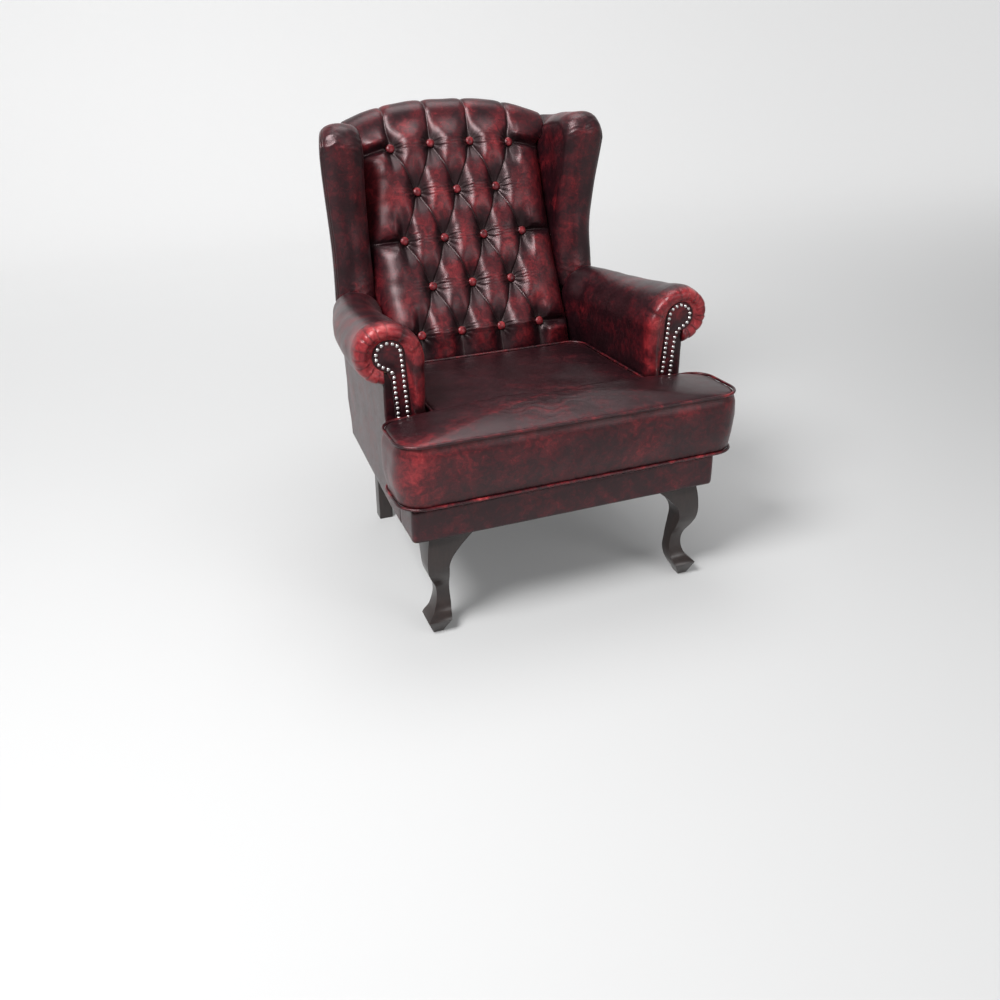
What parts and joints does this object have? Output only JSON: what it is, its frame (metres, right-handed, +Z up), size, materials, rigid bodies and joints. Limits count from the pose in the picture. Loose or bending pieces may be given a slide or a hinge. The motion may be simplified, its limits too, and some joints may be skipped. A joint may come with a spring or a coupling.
{
  "type": "armchair",
  "caption": "Wing armchair with a deep-buttoned raked back, scroll arms with nailed facings, cabriole front legs, and a loose T-shaped seat cushion.",
  "frame": {"origin": "middle of the bounding box at floor level", "axes": "+Z up, -Y to the front of the chair, +X to the sitter's left, which is the viewer's right from the front"},
  "size_m": [0.87, 0.94, 1.06],
  "materials": {
    "leather": "antique oxblood, rubbed, satin",
    "leather_side": "antique oxblood, smooth, satin",
    "button_leather": "oxblood, rubbed lighter, satin",
    "dark_wood": "dark brown stain, satin lacquer",
    "frame_wood": "raw beech",
    "nail_metal": "nickel-plated dome nails",
    "spring_steel": "plain drawn wire",
    "lining": "black woven lining",
    "webbing": "woven elastic webbing"
  },
  "bodies": {
    "chair": {"front_seat_rail": "frame_wood", "back_seat_rail": "frame_wood", "side_seat_rail_left": "frame_wood", "side_seat_rail_right": "frame_wood", "corner_blocks": "frame_wood", "frame_dowels": "frame_wood", "back_post_left": "frame_wood", "back_post_right": "frame_wood", "crest_rail": "frame_wood", "lower_back_rail": "frame_wood", "arm_post_left": "frame_wood", "arm_post_right": "frame_wood", "arm_rail_left": "frame_wood", "arm_rail_right": "frame_wood", "wing_board_left": "frame_wood", "wing_board_right": "frame_wood", "front_leg_left": "dark_wood", "front_leg_right": "dark_wood", "back_leg_left": "dark_wood", "back_leg_right": "dark_wood", "leg_bolts": "spring_steel", "seat_springs": "spring_steel", "spring_clips": "spring_steel", "seat_deck": "lining", "dust_cover": "lining", "back_webbing": "webbing", "tufted_back": "leather", "wing_pad_left": "leather", "wing_pad_right": "leather", "arm_pad_left": "leather", "arm_pad_right": "leather", "arm_facing_left": "leather", "arm_facing_right": "leather", "back_buttons": "button_leather", "facing_nails_left": "nail_metal", "facing_nails_right": "nail_metal", "outer_arm_panel_left": "leather_side", "outer_arm_panel_right": "leather_side", "outer_wing_panel_left": "leather_side", "outer_wing_panel_right": "leather_side", "outer_back_panel": "leather_side", "rail_cover": "leather_side"},
    "cushion": {"seat_cushion": "leather", "cushion_welt_top": "leather", "cushion_welt_bottom": "leather"}
  },
  "joints": [
    {"name": "cushion_lift", "type": "slide", "parent": "chair", "child": "cushion", "axis": [0, -0.2588, 0.9659], "range_m": [0, 0.4]}
  ]
}
